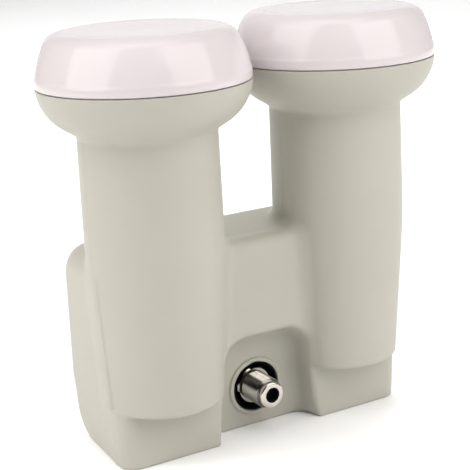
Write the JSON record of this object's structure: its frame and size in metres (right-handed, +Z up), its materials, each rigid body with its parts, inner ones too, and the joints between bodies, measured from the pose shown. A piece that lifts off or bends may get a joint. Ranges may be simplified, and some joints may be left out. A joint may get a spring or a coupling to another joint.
{
  "type": "satellite low-noise block with twin feeds",
  "caption": "Twin-feed satellite low-noise block: paired capped feed horns on round necks, joined by a bridge box with a recessed threaded coaxial outlet at the foot.",
  "frame": {"origin": "on the base plane, midway between the two feeds, in the plane that holds both feed axes (the parting plane of the cover)", "axes": "+X along the pair of feeds, +Y to the rear (away from the coaxial outlet), +Z up along the feed axes towards the caps"},
  "size_m": [0.1248, 0.0678, 0.1268],
  "materials": {
    "cover": "satin moulded plastic, light warm grey",
    "cap": "gloss moulded plastic, off-white",
    "seal": "moulded rubber",
    "die_cast": "as cast",
    "lid_sheet": "rolled sheet",
    "gasket": "conductive rubber",
    "screw_steel": "zinc plated",
    "board": "solder-masked laminate",
    "contact": "gold-plated brass",
    "insulator": "natural fluoropolymer",
    "dark_insulator": "black moulded plastic",
    "nickel": "nickel plated",
    "chip": "moulded epoxy",
    "capacitor": "fired ceramic",
    "resonator": "fired ceramic",
    "brass_screw": "turned brass"
  },
  "bodies": {
    "root": {"amplifier_transistors": "chip", "board_capacitors": "capacitor", "board_screws": "screw_steel", "chassis_lid": "lid_sheet", "circuit_board": "board", "connector_body": "nickel", "connector_contact": "contact", "connector_insulator": "dark_insulator", "connector_seal": "seal", "dielectric_resonators": "resonator", "feed_chassis": "die_cast", "front_housing": "cover", "housing_screws": "screw_steel", "isolation_pins": "contact", "left_cap_oring": "seal", "left_horizontal_probe": "contact", "left_radome_cap": "cap", "left_vertical_probe": "contact", "lid_gasket": "gasket", "lid_screws": "screw_steel", "mixer_chips": "chip", "probe_sleeves": "insulator", "rear_housing": "cover", "regulator_chip": "chip", "right_cap_oring": "seal", "right_horizontal_probe": "contact", "right_radome_cap": "cap", "right_vertical_probe": "contact", "switch_chip": "chip", "tuning_screws": "brass_screw"}
  },
  "joints": []
}
